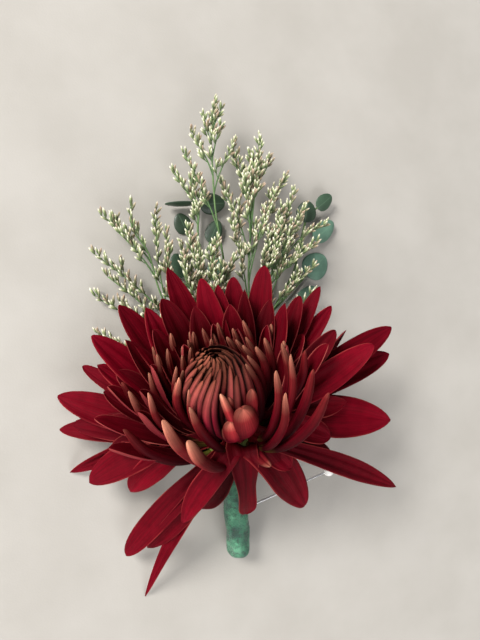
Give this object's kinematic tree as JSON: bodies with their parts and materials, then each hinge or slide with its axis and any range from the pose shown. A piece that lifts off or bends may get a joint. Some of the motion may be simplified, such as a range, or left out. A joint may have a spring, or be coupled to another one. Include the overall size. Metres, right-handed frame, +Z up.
{
  "type": "boutonniere",
  "caption": "Boutonniere laid on its back: a large dark red chrysanthemum with sea lavender and eucalyptus, stems bound in green tape, and a pearl-headed pin.",
  "frame": {"origin": "centre of the bounding box at the surface that the boutonniere lies on", "axes": "+Z up from the surface, +Y along the boutonniere from the cut ends of the stems to the tips of the foliage, +X to the side of the pin's head"},
  "size_m": [0.1196, 0.1766, 0.0617],
  "materials": {
    "petals": "velvety dark red petals, lighter bronze pink on the backs of the inner florets",
    "green_stem": "fresh green stem and calyx",
    "lavender": "green stems and twigs with cream and pale green buds",
    "leaf": "waxy blue-green eucalyptus leaves",
    "tape": "stretched crepe floral tape in mint and emerald green",
    "steel": "bright nickelled steel wire",
    "pearl": "pearlescent white plastic bead"
  },
  "bodies": {
    "root": {"bloom": "petals", "flower_stem": "green_stem", "eucalyptus_left": "leaf", "eucalyptus_right": "leaf", "sea_lavender_left": "lavender", "sea_lavender_inner_left": "lavender", "sea_lavender_tall": "lavender", "sea_lavender_centre": "lavender", "sea_lavender_right": "lavender", "sea_lavender_low": "lavender", "stem_tape": "tape", "pin_shaft": "steel", "pin_head": "pearl"}
  },
  "joints": []
}
